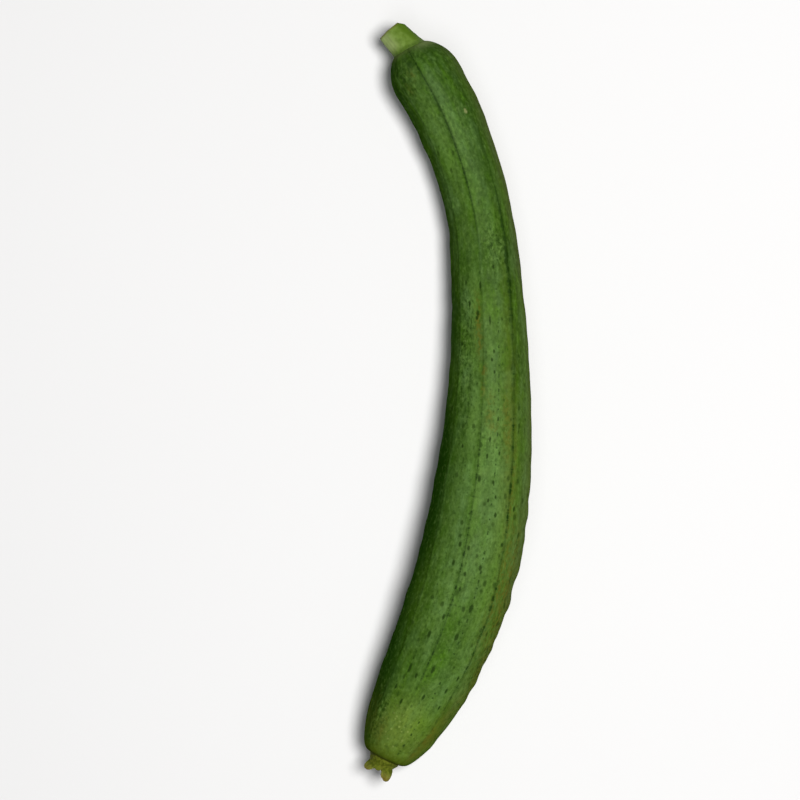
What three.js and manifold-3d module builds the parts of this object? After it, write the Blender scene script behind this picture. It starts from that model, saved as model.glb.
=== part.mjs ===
// A smooth luffa (sponge gourd), lying on its side: the fruit, its cut stalk and the dried blossom.
// Millimetres, +Z up. The fruit bends in the horizontal plane: its stalk end points to +Y and the
// outside of the bend to +X. The origin is under the middle of the whole gourd, at table height.

import * as THREE from "three";
import { mergeVertices } from "three/addons/utils/BufferGeometryUtils.js";
import Module from "manifold-3d";

const wasm = await Module();
wasm.setup();

// ---------------------------------------------------------------- driving dimensions

// Centre line of the fruit from the stalk to the blossom: x, y and the radius there.
const STATIONS = [
  [-20.0, 184.2, 18.8],
  [1.0, 146.9, 17.7],
  [15.8, 102.1, 16.9],
  [20.9, 54.1, 18.7],
  [21.6, 6.1, 21.4],
  [18.1, -41.9, 24.7],
  [9.1, -88.9, 26.1],
  [-7.8, -134.9, 24.3],
  [-32.8, -185.4, 18.7],
];

// Round shoulder at each end: ring radius where the stalk or calyx starts, length and fullness.
const NECK = { ring: 8.4, length: 17, fullness: 1.51 };
const TIP = { ring: 8.9, length: 42.7, fullness: 2.3 };

// Ten veins run along the fruit, at these angles round it: 0 is the outside of the bend, 90 is up.
const VEINS = [8, 52, 100, 140, 171, 199, 228, 256, 287, 327];
const NECK_TURN = -4; // degrees that the veins have turned at the stalk, straight from NECK_TURN_END on
const NECK_TURN_END = 90;
const TIP_TURN = -4; // degrees that they turn towards the blossom, between these distances
const TIP_TURN_SPAN = [240, 320];
const VEIN_HEIGHT = 0.35;
const VEIN_FOOT = 0.07; // half width of a vein, as a share of the panel beside it
const PANEL_FLATNESS = 0.18; // 0 is a round section, 1 is flat from vein to vein
const PANEL_SHARES = [0, VEIN_FOOT, 0.3, 0.5, 0.7, 1 - VEIN_FOOT];
const FLATTENED_LOSS = 0.004; // radius that the flattened panels would take off, given back

// Low bumps of the skin: height, length along the fruit, turns round it and phase.
const BUMPS = [
  { height: 0.26, along: 37, around: 2, phase: 0.4 },
  { height: 0.2, along: 21, around: -3, phase: 2.1 },
  { height: 0.14, along: 14, around: 4, phase: 4.0 },
];

// The fruit touches the table at three low spots and clears it by a little between them.
const REST_PANEL = 7; // the panel underneath starts at this vein
const REST_SPOTS = [58, 186, 322]; // distances along the centre line
const REST_SINK = 0.3; // depth pressed flat at each spot
const REST_CLEARANCE = 0.35; // height between the spots
const REST_REACH = 16; // half length of a spot

const RING_STEP = 6; // spacing of the rings along the middle of the fruit
const NECK_RINGS = 6;
const TIP_RINGS = 10;

// Cut stalk.
const SEAM = 0.3; // gap between the fruit and the pieces at its ends
const STEM = { x: -29.7, y: 194.5, cutRadius: 6.85, baseRadius: 8.6, flare: 0.8 };
const STEM_PARED = { along: 2.5, across: 2.4 }; // one corner of the cut is sliced off, on the outside
const STEM_RIBS = 5;
const STEM_RIB_HEIGHT = 0.06; // share of the radius, at the cut
const STEM_RINGS = 8;
const STEM_SIDES = 30;
const STEM_CUT_TURN = 11; // degrees between the plane of the fruit's ring and the cut

// Dried calyx: a collar round a hollow, then five lobes. Collar profile: radius and distance out.
const COLLAR = [
  [8.2, 0.3],
  [7.9, 1.2],
  [7.2, 2.5],
  [6.4, 4.0],
  [5.4, 4.6],
  [4.2, 4.2],
  [2.8, 3.0],
];
const COLLAR_SIDES = 30;
// Lobes: angle round the calyx, reach from the fruit, radius and width at the tip end.
const LOBES = [
  { angle: 142, reach: 9.2, radius: 7.9, width: 7.4 },
  { angle: 100, reach: 6.9, radius: 6.2, width: 5.4 },
  { angle: 48, reach: 10.6, radius: 7.6, width: 7.8 },
  { angle: -32, reach: 8.4, radius: 6.9, width: 6.4 },
  { angle: -128, reach: 7.8, radius: 6.8, width: 6.2 },
];
const LOBE_ROOT = { radius: 4.7, out: 1.6 };
const LOBE_THICKNESS = 2.6;
const LOBE_RINGS = 6;
const LOBE_SIDES = 10;

const SKIN_GREEN = 0x4f7a35;
const STEM_GREEN = 0x82995a;
const CALYX_OLIVE = 0x6f7a33;

// ---------------------------------------------------------------- helpers

const radians = THREE.MathUtils.degToRad;
const UP = new THREE.Vector3(0, 0, 1);

/** Closed shell of triangles that share their vertices. */
function shellGeometry(positions, indices) {
  const geometry = new THREE.BufferGeometry();
  geometry.setAttribute("position", new THREE.Float32BufferAttribute(positions, 3));
  geometry.setIndex(indices);
  return geometry;
}

/** Skin over rings of points that all turn counter-clockwise about the way from first to last. */
function loft(rings) {
  const sides = rings[0].length;
  const positions = rings.flat().flatMap((p) => [p.x, p.y, p.z]);
  const indices = [];
  for (let i = 0; i + 1 < rings.length; i += 1) {
    for (let j = 0; j < sides; j += 1) {
      const a = i * sides + j;
      const b = i * sides + ((j + 1) % sides);
      indices.push(a, b, a + sides, b, b + sides, a + sides);
    }
  }
  const first = positions.length / 3;
  for (const ring of [rings[0], rings[rings.length - 1]]) {
    const middle = ring.reduce((sum, p) => sum.add(p), new THREE.Vector3()).divideScalar(sides);
    positions.push(middle.x, middle.y, middle.z);
  }
  const lastRing = (rings.length - 1) * sides;
  for (let j = 0; j < sides; j += 1) {
    const next = (j + 1) % sides;
    indices.push(first, next, j);
    indices.push(first + 1, lastRing + j, lastRing + next);
  }
  return shellGeometry(positions, indices);
}

function toSolid(geometry) {
  return new wasm.Manifold(
    new wasm.Mesh({
      numProp: 3,
      vertProperties: geometry.getAttribute("position").array,
      triVerts: Uint32Array.from(geometry.getIndex().array),
    }),
  );
}

function toGeometry(solid) {
  const mesh = solid.getMesh();
  return shellGeometry(Array.from(mesh.vertProperties), Array.from(mesh.triVerts));
}

// ---------------------------------------------------------------- centre line

const STEPS = 1200;
const stationCurve = new THREE.CatmullRomCurve3(
  STATIONS.map((station) => new THREE.Vector3(...station)),
  false,
  "catmullrom",
  0.5,
);
const samples = stationCurve.getPoints(STEPS);
const arcs = [0];
for (let i = 1; i <= STEPS; i += 1) {
  arcs.push(arcs[i - 1] + Math.hypot(samples[i].x - samples[i - 1].x, samples[i].y - samples[i - 1].y));
}
const LENGTH = arcs[STEPS];

/** x, y and radius of the centre line at a distance along it; past its ends it runs on straight. */
function stationAt(arc) {
  const inside = THREE.MathUtils.clamp(arc, 0, LENGTH);
  let i = arcs.findIndex((value) => value >= inside);
  i = Math.max(i, 1);
  const share = (inside - arcs[i - 1]) / (arcs[i] - arcs[i - 1]);
  return samples[i - 1].clone().lerp(samples[i], share);
}

/** Frame of the cross-section: its centre, the way along, the way to the outside of the bend. */
function sectionAt(arc) {
  const reach = 0.5;
  const before = stationAt(arc - reach);
  const after = stationAt(arc + reach);
  const along = new THREE.Vector3(after.x - before.x, after.y - before.y, 0).normalize();
  const outside = new THREE.Vector3().crossVectors(UP, along);
  const here = stationAt(arc);
  const centre = new THREE.Vector3(here.x, here.y, here.z * UNDERSIDE + restLift(arc));
  return { centre, along, outside, radius: here.z };
}

/** Distance from the centre line to the middle of the panel underneath, as a share of the radius. */
const REST_PANEL_WIDTH = radians(VEINS[REST_PANEL + 1] - VEINS[REST_PANEL]);
const UNDERSIDE = (1 + FLATTENED_LOSS) * (1 - PANEL_FLATNESS * (1 - Math.cos(REST_PANEL_WIDTH / 2)));

/** Height of the underside over the table: below it at the three spots, just clear elsewhere. */
function restLift(arc) {
  const spots = REST_SPOTS.map((spot) => Math.exp(-(((arc - spot) / REST_REACH) ** 2)));
  return REST_CLEARANCE - (REST_CLEARANCE + REST_SINK) * Math.max(...spots);
}

// ---------------------------------------------------------------- fruit

/** Share of the full radius on a rounded shoulder, at a distance from its ring. */
function shoulderRadius(distance, end, fullRadius) {
  const inward = Math.max(0, 1 - distance / end.length);
  const rise = (1 - inward ** end.fullness) ** (1 / end.fullness);
  return end.ring + (fullRadius - end.ring) * rise;
}

function bodyRadius(arc, fullRadius) {
  const neck = shoulderRadius(arc, NECK, fullRadius);
  const tip = shoulderRadius(LENGTH - arc, TIP, fullRadius);
  return Math.min(neck, tip);
}

/** Angle that the veins have turned at a distance along the fruit. */
function veinTurn(arc) {
  const neck = NECK_TURN * (1 - THREE.MathUtils.smoothstep(arc, 0, NECK_TURN_END));
  const tip = TIP_TURN * THREE.MathUtils.smoothstep(arc, ...TIP_TURN_SPAN);
  return radians(neck + tip);
}

/** Low bumps, faded out at the ring of each end and underneath, where the fruit rests. */
function bumpHeight(arc, angle) {
  const ends = THREE.MathUtils.smoothstep(Math.min(arc, LENGTH - arc), 0, 20);
  const clearOfTable = 1 - THREE.MathUtils.smoothstep(-Math.sin(angle), 0.7, 0.95);
  let height = 0;
  for (const bump of BUMPS) {
    height += bump.height * Math.sin((2 * Math.PI * arc) / bump.along + bump.around * angle + bump.phase);
  }
  return height * ends * clearOfTable;
}

/** One ring of the fruit: six points for each panel, from its vein to just before the next. */
function bodyRing(arc) {
  const { centre, outside, radius } = sectionAt(arc);
  const here = bodyRadius(arc, radius);
  const points = [];
  VEINS.forEach((vein, k) => {
    const start = radians(vein);
    const width = k + 1 < VEINS.length ? radians(VEINS[k + 1]) - start : radians(360 + VEINS[0]) - start;
    for (const share of PANEL_SHARES) {
      const fromMiddle = (share - 0.5) * width;
      const chord = Math.cos(width / 2) / Math.cos(fromMiddle);
      const panel = (1 + FLATTENED_LOSS) * (1 - PANEL_FLATNESS * (1 - chord));
      const angle = start + share * width + veinTurn(arc);
      const ridge = share === 0 ? (VEIN_HEIGHT * here) / radius : 0;
      const out = here * panel + ridge + bumpHeight(arc, angle);
      points.push(
        centre
          .clone()
          .addScaledVector(outside, out * Math.cos(angle))
          .addScaledVector(UP, out * Math.sin(angle)),
      );
    }
  });
  return points;
}

/** Ring places: close together on the shoulders, evenly spaced between them. */
function ringArcs() {
  const quarter = Math.PI / 2;
  const places = [];
  for (let k = 0; k < NECK_RINGS; k += 1) {
    places.push(NECK.length * (1 - Math.cos((k / NECK_RINGS) * quarter)));
  }
  const middle = LENGTH - NECK.length - TIP.length;
  const count = Math.round(middle / RING_STEP);
  for (let k = 0; k <= count; k += 1) {
    places.push(NECK.length + (k / count) * middle);
  }
  for (let k = TIP_RINGS - 1; k >= 0; k -= 1) {
    places.push(LENGTH - TIP.length * (1 - Math.cos((k / TIP_RINGS) * quarter)));
  }
  return places;
}

/** The fruit, pressed flat where it rests on the table. */
function bodyGeometry() {
  const fruit = toSolid(loft(ringArcs().map(bodyRing)));
  const slab = new THREE.BoxGeometry(400, 600, 20);
  slab.translate(0, 0, -10);
  slab.deleteAttribute("normal");
  slab.deleteAttribute("uv");
  return toGeometry(fruit.subtract(toSolid(mergeVertices(slab))));
}

// ---------------------------------------------------------------- stalk

/** Farthest that the stalk reaches to the outside at a distance from its cut, where it is pared. */
function paredReach(fromCut) {
  const left = Math.min(1, fromCut / STEM_PARED.along);
  return STEM.cutRadius - STEM_PARED.across * (1 - left) + (left < 1 ? 0 : STEM.baseRadius);
}

/** Stub of the stalk: softly five-ribbed, flared where it joins the fruit, cut square. */
function stemGeometry() {
  const base = sectionAt(0);
  const start = base.centre.clone().addScaledVector(base.along, -SEAM);
  const cut = new THREE.Vector3(STEM.x, STEM.y, base.centre.z);
  const long = start.distanceTo(cut);
  const rings = [];
  for (let i = 0; i <= STEM_RINGS; i += 1) {
    const share = i / STEM_RINGS;
    const centre = start.clone().lerp(cut, share);
    const side = base.outside.clone().applyAxisAngle(UP, radians(STEM_CUT_TURN * share)).negate();
    const radius = STEM.cutRadius + (STEM.baseRadius - STEM.cutRadius) * (1 - share) ** STEM.flare;
    const ring = [];
    for (let j = 0; j < STEM_SIDES; j += 1) {
      const angle = (2 * Math.PI * j) / STEM_SIDES;
      const ribbed = radius * (1 + STEM_RIB_HEIGHT * share * Math.cos(STEM_RIBS * angle));
      const toOutside = Math.max(-Math.cos(angle), 0.01);
      const out = Math.min(ribbed, paredReach(long * (1 - share)) / toOutside);
      ring.push(
        centre
          .clone()
          .addScaledVector(side, out * Math.cos(angle))
          .addScaledVector(UP, out * Math.sin(angle)),
      );
    }
    rings.push(ring);
  }
  return loft(rings);
}

// ---------------------------------------------------------------- calyx

/** Point of the calyx: distance out from the fruit, radius and angle round its axis. */
function calyxPoint(end, out, radius, angle) {
  return end.centre
    .clone()
    .addScaledVector(end.along, out)
    .addScaledVector(end.outside, radius * Math.cos(angle))
    .addScaledVector(UP, radius * Math.sin(angle));
}

function collarSolid(end) {
  const rings = [];
  for (const [radius, out] of COLLAR) {
    const ring = [];
    for (let j = 0; j < COLLAR_SIDES; j += 1) {
      ring.push(calyxPoint(end, out, radius, (2 * Math.PI * j) / COLLAR_SIDES));
    }
    rings.push(ring);
  }
  return toSolid(loft(rings));
}

/** One lobe: a thick blade that leans outward, widest at a third of its reach, round at its tip. */
function lobeSolid(end, lobe) {
  const angle = radians(lobe.angle);
  const outward = end.outside.clone().multiplyScalar(Math.cos(angle)).addScaledVector(UP, Math.sin(angle));
  const across = new THREE.Vector3().crossVectors(end.along, outward);
  const rings = [];
  for (let i = 0; i <= LOBE_RINGS; i += 1) {
    const share = i / LOBE_RINGS;
    const out = LOBE_ROOT.out + (lobe.reach - LOBE_ROOT.out) * share;
    const radius = LOBE_ROOT.radius + (lobe.radius - LOBE_ROOT.radius) * share ** 1.4;
    const centre = calyxPoint(end, out, radius, angle);
    const taper = (0.85 + 0.6 * share) * Math.sqrt(1 - (0.97 * share) ** 2.2);
    const ring = [];
    for (let j = 0; j < LOBE_SIDES; j += 1) {
      const turn = (2 * Math.PI * j) / LOBE_SIDES;
      ring.push(
        centre
          .clone()
          .addScaledVector(outward, (LOBE_THICKNESS / 2) * taper * Math.cos(turn))
          .addScaledVector(across, (lobe.width / 2) * taper * Math.sin(turn)),
      );
    }
    rings.push(ring);
  }
  return toSolid(loft(rings));
}

function calyxGeometry() {
  const end = sectionAt(LENGTH);
  let solid = collarSolid(end);
  for (const lobe of LOBES) {
    solid = solid.add(lobeSolid(end, lobe));
  }
  return toGeometry(solid);
}

// ---------------------------------------------------------------- the gourd

const group = new THREE.Group();

function addPiece(name, geometry, color, roughness) {
  const material = new THREE.MeshStandardMaterial({ color, roughness, metalness: 0 });
  const mesh = new THREE.Mesh(geometry, material);
  mesh.name = name;
  group.add(mesh);
}

addPiece("gourd_body", bodyGeometry(), SKIN_GREEN, 0.55);
addPiece("stem", stemGeometry(), STEM_GREEN, 0.6);
addPiece("calyx", calyxGeometry(), CALYX_OLIVE, 0.75);

export default group;
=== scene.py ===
# A smooth luffa gourd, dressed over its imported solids: the skin, the cut stalk and the dried blossom.
import math

import bpy
import numpy as np
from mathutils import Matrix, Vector
from mathutils import noise


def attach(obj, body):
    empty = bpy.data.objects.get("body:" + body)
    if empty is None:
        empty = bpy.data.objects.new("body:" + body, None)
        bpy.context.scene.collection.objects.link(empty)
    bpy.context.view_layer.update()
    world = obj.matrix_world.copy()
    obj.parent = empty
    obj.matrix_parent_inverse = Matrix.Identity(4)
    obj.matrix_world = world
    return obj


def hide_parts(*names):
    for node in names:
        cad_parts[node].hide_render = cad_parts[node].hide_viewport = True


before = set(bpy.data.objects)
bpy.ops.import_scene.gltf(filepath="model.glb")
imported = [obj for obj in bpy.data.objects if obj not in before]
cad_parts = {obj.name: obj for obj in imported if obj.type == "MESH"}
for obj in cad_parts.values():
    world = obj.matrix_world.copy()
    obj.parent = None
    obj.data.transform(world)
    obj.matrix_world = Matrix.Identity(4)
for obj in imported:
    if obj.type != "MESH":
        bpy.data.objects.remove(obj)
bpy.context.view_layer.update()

# ---- driving dimensions, in millimetres

MM = 0.001

# Centre line of the fruit from the stalk to the blossom: x, y and the radius there.
STATIONS = np.array([
    (-20.0, 184.2, 18.8),
    (1.0, 146.9, 17.7),
    (15.8, 102.1, 16.9),
    (20.9, 54.1, 18.7),
    (21.6, 6.1, 21.4),
    (18.1, -41.9, 24.7),
    (9.1, -88.9, 26.1),
    (-7.8, -134.9, 24.3),
    (-32.8, -185.4, 18.7),
])

# Round shoulder at each end: ring radius where the stalk or calyx starts, length and fullness.
NECK = {"ring": 8.4, "length": 17.0, "fullness": 1.51}
TIP = {"ring": 8.9, "length": 42.7, "fullness": 2.3}

# Ten veins run along the fruit, at these angles round it: 0 is the outside of the bend, 90 is up.
VEINS = [8, 52, 100, 140, 171, 199, 228, 256, 287, 327]
NECK_TURN = -4.0  # degrees that they have turned at the stalk, straight from NECK_TURN_END on
NECK_TURN_END = 90.0
TIP_TURN = -4.0  # degrees that they turn towards the blossom, between these distances
TIP_TURN_SPAN = (240.0, 320.0)
VEIN_HEIGHT = 0.35
VEIN_WIDTH = 0.9  # half width of the raised line
VEIN_WANDER = 0.7  # degrees that a vein strays from its line
VEIN_WAVES = [(1.0, 27.0, 0.0), (0.35, 6.5, 4.0)]  # how it strays: share, length and shift
VEIN_BEND = {"vein": 1, "arc": 215.0, "reach": 75.0, "turn": 4.5}  # one vein bows towards the top
VEIN_SWELLS = [(0.6, 17.0, 2.0)]  # and how its height comes and goes
VEIN_MEAN = 0.72
VEIN_LEAST = 0.3
TRACKS_APART = {"stray": 31.0, "swell": 40.0}  # so that no two veins share their waves
PANEL_FLATNESS = 0.18
PANEL_CREASE = 0.2  # rounding of the edge between two panels, as a share of the panel
FLATTENED_LOSS = 0.004  # radius that the flattened panels would take off, given back

# Points across a panel, close together beside the veins, and rings along the fruit.
PANEL_SHARES = np.array([0, 0.022, 0.05, 0.09, 0.15, 0.23, 0.32, 0.41,
                         0.5, 0.59, 0.68, 0.77, 0.85, 0.91, 0.95, 0.978])
RINGS = 560
SHOULDER_RINGS = 18

# Low bumps of the skin: height, length along the fruit, turns round it and phase.
BUMPS = [
    (0.26, 37.0, 2, 0.4),
    (0.20, 21.0, -3, 2.1),
    (0.14, 14.0, 4, 4.0),
]
LUMPS = [(0.2, 9.0, 9.0), (0.1, 4.2, 4.2)]  # finer lumps: height, size and shift
# They are highest between two distances and two angles from a middle one, each with a soft edge.
ROUGH_STRETCH = (235, 372, 25)
ROUGH_SIDE = (-45, 45, 20)
ROUGH_MIDDLE = 5
ROUGH_BUMPS = (0.45, 0.55)  # share of their height elsewhere, and what is added there
ROUGH_LUMPS = (0.7, 2.6)
SMOOTH_END = 20  # they come in over this distance from either end
TABLE_SIDE = (0.7, 0.95)  # and go out between these sines of the angle below the level

# The fruit touches the table at three low spots.
REST_PANEL = 7
REST_SPOTS = (58.0, 186.0, 322.0)
REST_SINK = 0.3
REST_CLEARANCE = 0.35
REST_REACH = 16.0

# Cut stalk: centre of the cut, its radii, ribs and how far the cut is turned.
STEM_CUT = (-29.6, 194.5)
STEM_CUT_RADIUS = 6.95
STEM_BASE_RADIUS = 8.6
STEM_FLARE = 0.8
STEM_ROOT = {"height": 0.45, "length": 0.9}  # swelling where it leaves the fruit
STEM_PARED = {"along": 2.6, "across": 2.3}  # one corner of the cut is sliced off, on the outside
PARED_LEAST = 0.01  # cosine from the sliced side, below which the slice is out of reach
STEM_RIBS = 5
STEM_RIB_HEIGHT = 0.06
STEM_FINE_RIBS = [(0.006, 23, 1.3, 0.0), (0.004, 37, 0.0, 2.0)]  # height, number, phase and twist
STEM_LUMPS = [(0.16, 2.6, 0.0), (0.07, 0.9, 3.0)]  # height, size and shift
STEM_CUT_TURN = 11.0
STEM_SUNK = 0.07  # share of its length that goes on inside the fruit
SEAM = 0.3  # gap between the solids of the fruit and of the stalk

# Face of the cut, from its rim to its middle: share of the radius, and how far it stands out.
CUT_FACE = [(0.97, 0.12), (0.9, -0.05), (0.78, -0.25), (0.6, -0.4), (0.4, -0.45), (0.2, -0.4), (0.06, -0.38)]

# Dried calyx: profile of its collar (radius and distance out), and angle, reach, radius and width
# of each lobe.
COLLAR = [(8.5, -0.6), (8.3, 0.4), (7.9, 1.2), (7.2, 2.5), (6.4, 4.0), (5.4, 4.6), (4.2, 4.2),
          (2.8, 3.0), (0.6, 2.5)]
LOBES = [
    (142, 9.2, 7.9, 7.4),
    (100, 6.9, 6.2, 5.4),
    (48, 10.6, 7.6, 7.8),
    (-32, 8.4, 6.9, 6.4),
    (-128, 7.8, 6.8, 6.2),
]
LOBE_ROOT = {"radius": 4.7, "out": 1.6}
LOBE_THICKNESS = 2.4
LOBE_LEAN = 1.4  # power by which a lobe bends outward
LOBE_SWELL = (0.85, 0.6)  # width at its root, and what it gains towards its tip
LOBE_TIP = (0.985, 2.2)  # how far it closes at its tip, and how bluntly
LOBE_CUP = 0.6
CALYX_VOXEL = 0.24
CALYX_SMOOTHING = (0.5, 6)  # factor and times
CALYX_RIDGES = [(0.26, 1.5, 0.0)]  # height, size and shift
CALYX_RIDGES_DRAWN = 0.25  # distance out counts for this much, which draws the ridges out
CALYX_LUMPS = [(0.16, 0.8, 5.0), (0.3, 3.4, 2.0)]
CRUMPLED_FROM = (0.2, 2.0)  # the crumpling comes in between these distances out
# Painted shade in the hollow middle of the calyx: it fades out between these radii and comes in between
# these distances out.
HOLLOW_SHADE = {"radius": (2.5, 5.5), "out": (1.5, 3.5)}
DENT_SHADE_GAIN = 3  # how fast painted shade darkens a dent

UP = np.array((0.0, 0.0, 1.0))
ROUND = 22.0  # radius at which the skin's pattern is unrolled

# ---- helpers


def smoothstep(value, low, high):
    share = np.clip((value - low) / (high - low), 0, 1)
    return share * share * (3 - 2 * share)


def window(value, low, high, soft):
    """1 between low and high, with a soft edge on either side."""
    return smoothstep(value, low - soft, low + soft) * (1 - smoothstep(value, high - soft, high + soft))


def perlin(points, scale, shift=0.0):
    """Smooth noise, -1 to 1, at points; scale is the size of its lumps."""
    cells = np.asarray(points) / scale + shift
    values = [noise.noise(Vector(cell)) for cell in cells.reshape(-1, 3)]
    return np.array(values).reshape(cells.shape[:-1])


def lumps(points, layers):
    """Smooth noise in layers, each with its height, the size of its lumps and its shift."""
    return sum(height * perlin(points, size, shift) for height, size, shift in layers)


def on_stretches(arc, rows):
    """Amounts that hold over stretches: each row has an amount, two distances and a soft edge."""
    return sum(amount * window(arc, *stretch) for amount, *stretch in rows)


def turns(count):
    """Angles of that many points round a ring."""
    return 2 * math.pi * np.arange(count) / count


def linear(red, green, blue):
    """A colour given in the usual 0 to 255, as the shader takes it."""
    channels = []
    for value in (red, green, blue):
        share = value / 255
        channels.append(share / 12.92 if share <= 0.04045 else ((share + 0.055) / 1.055) ** 2.4)
    return (*channels, 1.0)


def add_object(name, data):
    made = bpy.data.objects.new(name, data)
    bpy.context.scene.collection.objects.link(made)
    return made


def new_piece(name, points, faces, node):
    """A smooth mesh from points in millimetres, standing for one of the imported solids."""
    mesh = bpy.data.meshes.new(name)
    mesh.from_pydata((points * MM).tolist(), [], faces)
    mesh.update()
    mesh.shade_smooth()
    piece = add_object(name, mesh)
    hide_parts(node)
    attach(piece, "root")
    return piece


def add_attribute(mesh, name, values):
    """One number or one vector for each point of a mesh, for its material to read."""
    values = np.asarray(values, dtype=np.float32)
    kind, field = ("FLOAT_VECTOR", "vector") if values.ndim == 2 else ("FLOAT", "value")
    mesh.attributes.new(name, kind, "POINT").data.foreach_set(field, values.ravel())


def add_ring_attributes(mesh, named):
    """The same for a lofted mesh: given for its rings, and worked out for the middles of its ends."""
    for name, values in named.items():
        flat = values.reshape(-1, *values.shape[2:])
        middles = [values[0].mean(axis=0), values[-1].mean(axis=0)]
        add_attribute(mesh, name, np.concatenate([flat, middles]))


def loft_faces(rings, sides):
    """Quads between rings of points that close on themselves, with a fan over each end."""
    faces = []
    for i in range(rings - 1):
        for j in range(sides):
            a, b = i * sides + j, i * sides + (j + 1) % sides
            faces.append((a, b, b + sides, a + sides))
    first, last = rings * sides, (rings - 1) * sides
    for j in range(sides):
        following = (j + 1) % sides
        faces.append((first, following, j))
        faces.append((first + 1, last + j, last + following))
    return faces


def loft_points(rings):
    """The rings' points, then the middle of the first and of the last ring."""
    rings = np.asarray(rings)
    return np.vstack([rings.reshape(-1, 3), rings[0].mean(axis=0), rings[-1].mean(axis=0)])


class Graph:
    """Nodes of a material or of the world, written as short calls that take and give sockets."""

    def __init__(self, owner):
        owner.use_nodes = True
        self.owner = owner
        self.tree = owner.node_tree
        self.tree.nodes.clear()

    def put(self, socket, value):
        if isinstance(value, bpy.types.NodeSocket):
            self.tree.links.new(value, socket)
        else:
            socket.default_value = value

    def node(self, kind, inputs=(), **settings):
        made = self.tree.nodes.new("ShaderNode" + kind)
        for key, value in settings.items():
            setattr(made, key, value)
        for key, value in dict(inputs).items():
            self.put(made.inputs[key], value)
        return made

    def math(self, operation, *values):
        return self.node("Math", enumerate(values), operation=operation).outputs[0]

    def times(self, *values):
        product = values[0]
        for value in values[1:]:
            product = self.math("MULTIPLY", product, value)
        return product

    def value(self, name, output="Fac"):
        return self.node("Attribute", attribute_name=name).outputs[output]

    def place(self):
        """Where a point lies, in millimetres."""
        return self.stretch(self.node("TexCoord").outputs["Object"], 1 / MM, 1 / MM, 1 / MM)

    def stretch(self, vector, *scale):
        settings = {0: vector, 1: scale}
        return self.node("VectorMath", settings, operation="MULTIPLY").outputs[0]

    def noise(self, vector, size, detail=2.0, rough=0.5):
        settings = {"Vector": vector, "Scale": 1 / size, "Detail": detail, "Roughness": rough}
        return self.node("TexNoise", settings).outputs["Fac"]

    def cells(self, vector, size=1.0, **settings):
        return self.node("TexVoronoi", {"Vector": vector, "Scale": 1 / size}, **settings)

    def step(self, value, low, high, start=0.0, end=1.0):
        """Smooth change from start to end as the value goes from low to high."""
        settings = {0: value, 1: low, 2: high, 3: start, 4: end}
        return self.node("MapRange", settings, interpolation_type="SMOOTHSTEP").outputs[0]

    def mix(self, share, first, second):
        settings = {0: share, 6: first, 7: second}
        return self.node("Mix", settings, data_type="RGBA").outputs[2]

    def paint(self, color, *coats):
        """Lays coats over a colour: each is the share that it covers, and its own colour."""
        for share, tone in coats:
            color = self.mix(share, color, tone)
        return color

    def bump(self, height, distance, normal=None):
        inputs = {"Strength": 1.0, "Distance": distance * MM, "Height": height}
        if normal is not None:
            inputs["Normal"] = normal
        return self.node("Bump", inputs).outputs[0]

    def finish(self, color, roughness, normal=None, **uniform):
        shader = self.node("BsdfPrincipled", {"Base Color": color, "Roughness": roughness})
        if normal is not None:
            self.put(shader.inputs["Normal"], normal)
        for key, value in uniform.items():
            self.put(shader.inputs[key.replace("_", " ")], value)
        self.node("OutputMaterial", {0: shader.outputs[0]})
        return self.owner


# ---- camera, floor and light, in metres

FRAME_WIDTH = 0.416  # across the picture, at the height of the fruit's middle
VIEW_CENTRE = (-0.0248, 0.0012, 0.025)
CAMERA_DISTANCE = 1.6
CLIP = (0.05, 20)
SENSOR = 36.0  # millimetres
FLOOR_HALF = 4.0
FLOOR_GRAIN = 0.4
FLOOR_TONES = (linear(205, 205, 206), linear(208, 208, 209))
WHITE = (1.0, 1.0, 1.0, 1.0)
WORLD_LIGHT = 0.06
WORLD_SEEN = 0.85
# Lights: name, place, size, power and colour.
LIGHTS = [
    ("key", (0.46, 0.1, 2.1), 0.8, 64.0, (1.0, 0.99, 0.97)),
    ("fill", (-0.2, -0.7, 2.3), 1.4, 12.0, (0.97, 0.99, 1.0)),
]


def add_camera():
    data = bpy.data.cameras.new("camera")
    data.sensor_width = SENSOR
    data.lens = SENSOR * CAMERA_DISTANCE / FRAME_WIDTH
    data.clip_start, data.clip_end = CLIP
    camera = add_object("camera", data)
    x, y, z = VIEW_CENTRE
    camera.location = (x, y, z + CAMERA_DISTANCE)
    bpy.context.scene.camera = camera


def add_light(name, place, size, power, color):
    """A round lamp that points at the gourd."""
    data = bpy.data.lights.new(name, "AREA")
    data.shape = "DISK"
    data.size = size
    data.energy = power
    data.color = color
    light = add_object(name, data)
    light.location = place
    aim = Vector(VIEW_CENTRE) - Vector(place)
    light.rotation_mode = "QUATERNION"
    light.rotation_quaternion = aim.to_track_quat("-Z", "Y")


def add_floor():
    mesh = bpy.data.meshes.new("floor")
    corners = [(x * FLOOR_HALF, y * FLOOR_HALF, 0) for x, y in ((-1, -1), (1, -1), (1, 1), (-1, 1))]
    mesh.from_pydata(corners, [], [(0, 1, 2, 3)])
    floor = add_object("floor", mesh)
    graph = Graph(bpy.data.materials.new("pale_floor"))
    grain = graph.noise(graph.node("TexCoord").outputs["Object"], FLOOR_GRAIN)
    color = graph.mix(grain, *FLOOR_TONES)
    floor.data.materials.append(graph.finish(color, 0.9, Specular_IOR_Level=0.1))


def add_world():
    """Plain white surroundings, bright where the camera sees them and faint as a light."""
    graph = Graph(bpy.data.worlds.new("studio"))
    seen = graph.node("LightPath").outputs["Is Camera Ray"]
    strength = graph.node("MapRange", {0: seen, 3: WORLD_LIGHT, 4: WORLD_SEEN}).outputs[0]
    background = graph.node("Background", {0: WHITE, 1: strength})
    graph.node("OutputWorld", {0: background.outputs[0]})
    bpy.context.scene.world = graph.owner


add_camera()
add_floor()
add_world()
for lamp in LIGHTS:
    add_light(*lamp)
bpy.context.scene.view_settings.view_transform = "Standard"

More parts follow.
